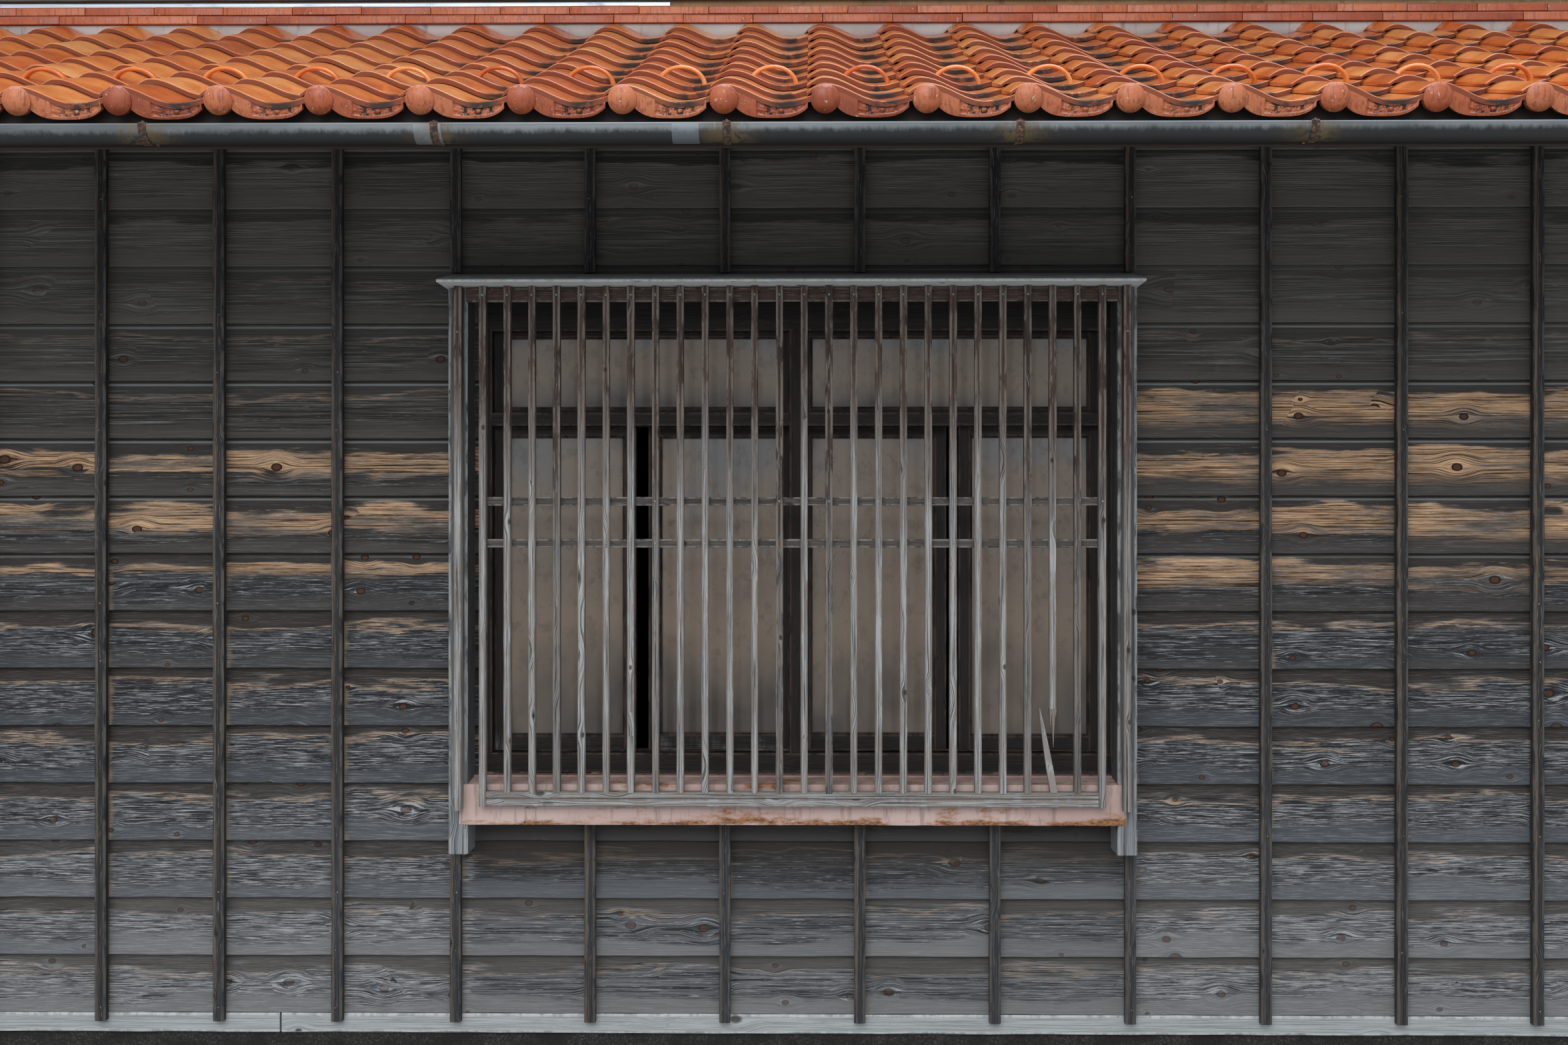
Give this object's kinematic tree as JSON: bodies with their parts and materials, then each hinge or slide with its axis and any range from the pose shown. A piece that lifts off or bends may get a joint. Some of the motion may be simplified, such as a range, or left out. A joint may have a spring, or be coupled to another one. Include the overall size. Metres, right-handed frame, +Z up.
{
  "type": "two-storey timber townhouse",
  "caption": "Two-storey timber townhouse with lapped board walls, a latticed street window and a pent roof of pantiles with ball-ended eave tiles under a gabled main roof.",
  "frame": {"origin": "on the ground, at the middle of the front wall's stone base, in the plane of the wall's outer face", "axes": "+X along the street to the right as seen from the street, +Y into the house, +Z up"},
  "size_m": [6.36, 7.5544, 6.772],
  "materials": {
    "base_stone": "hewn",
    "floor_boards": "planed",
    "sill_timber": "silvered",
    "weatherboards": "weathered black stain",
    "batten_timber": "weathered black stain",
    "hood_timber": "silvered",
    "flashing_paint": "faded pink paint with rust",
    "joinery": "dark stain",
    "door_boards": "weathered",
    "obscured_glass": "rolled",
    "lattice_timber": "weathered",
    "clay_plaster": "trowelled clay",
    "roof_timber": "rough",
    "glazed_tile": "glazed orange",
    "matt_tile": "matt salmon",
    "lime_plaster": "lime plaster",
    "strip_metal": "pale paint",
    "gutter_metal": "grey"
  },
  "bodies": {
    "root": {"foundation": "base_stone", "ground_floor": "floor_boards", "upper_floor": "floor_boards", "front_sill": "sill_timber", "front_wall_left": "weatherboards", "front_wall_right": "weatherboards", "front_wall_above": "weatherboards", "front_wall_below": "weatherboards", "rear_wall": "weatherboards", "upper_wall": "weatherboards", "front_battens": "batten_timber", "window_hood": "hood_timber", "window_jambs": "hood_timber", "window_flashing": "flashing_paint", "window_frame": "joinery", "window_sashes": "joinery", "rear_windows": "joinery", "upper_window": "joinery", "rear_door": "door_boards", "window_glass": "obscured_glass", "rear_glass": "obscured_glass", "upper_glass": "obscured_glass", "lattice": "lattice_timber", "upper_lattice": "lattice_timber", "party_wall_left": "clay_plaster", "party_wall_right": "clay_plaster", "pent_roof_frame": "roof_timber", "main_roof_frame_front": "roof_timber", "main_roof_frame_rear": "roof_timber", "pent_tiles": "glazed_tile", "main_tiles_front": "glazed_tile", "main_tiles_rear": "glazed_tile", "pent_eave_tiles": "matt_tile", "snow_guards": "matt_tile", "noshi_courses": "matt_tile", "main_eave_tiles_front": "matt_tile", "main_eave_tiles_rear": "matt_tile", "ridge": "matt_tile", "plaster_band": "lime_plaster", "wall_flashing_strip": "strip_metal", "pent_gutter": "gutter_metal", "main_gutter_front": "gutter_metal", "main_gutter_rear": "gutter_metal", "gutter_hangers": "gutter_metal"}
  },
  "joints": []
}
